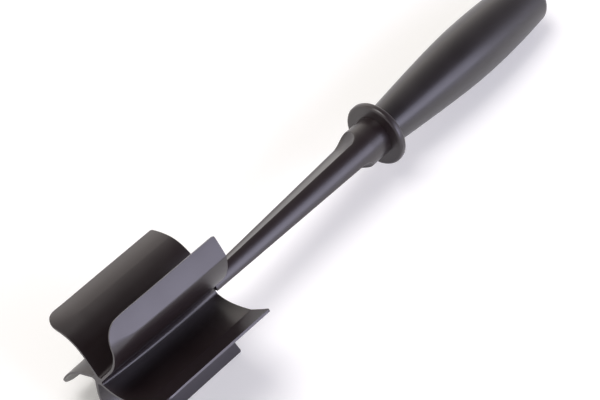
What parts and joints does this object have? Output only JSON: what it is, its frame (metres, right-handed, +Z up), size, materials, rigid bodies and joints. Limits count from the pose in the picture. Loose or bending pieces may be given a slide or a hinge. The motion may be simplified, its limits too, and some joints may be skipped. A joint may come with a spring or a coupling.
{
  "type": "meat masher",
  "caption": "Hand tool that breaks up minced meat in a pan: curved blades round a hub, on a tapered fluted stem with a round hand stop and a swelling round grip.",
  "frame": {"origin": "centre of the base of the bounding box, on the worktop that the tool lies on", "axes": "+X from the blades to the grip along the worktop, +Z up; the tool lies on two blade edges and on the swell of its grip, so its own axis falls 3.9 degrees towards the grip"},
  "size_m": [0.2703, 0.0578, 0.0587],
  "materials": {
    "moulded_nylon": "satin moulded charcoal",
    "grip_nylon": "satin moulded charcoal",
    "plated_steel": "zinc plated"
  },
  "bodies": {
    "root": {"blade_head": "moulded_nylon", "stem": "moulded_nylon", "hand_stop": "moulded_nylon", "grip_shell": "grip_nylon", "clamp_screw": "plated_steel", "screw_washer": "plated_steel", "end_plug": "grip_nylon"}
  },
  "joints": []
}
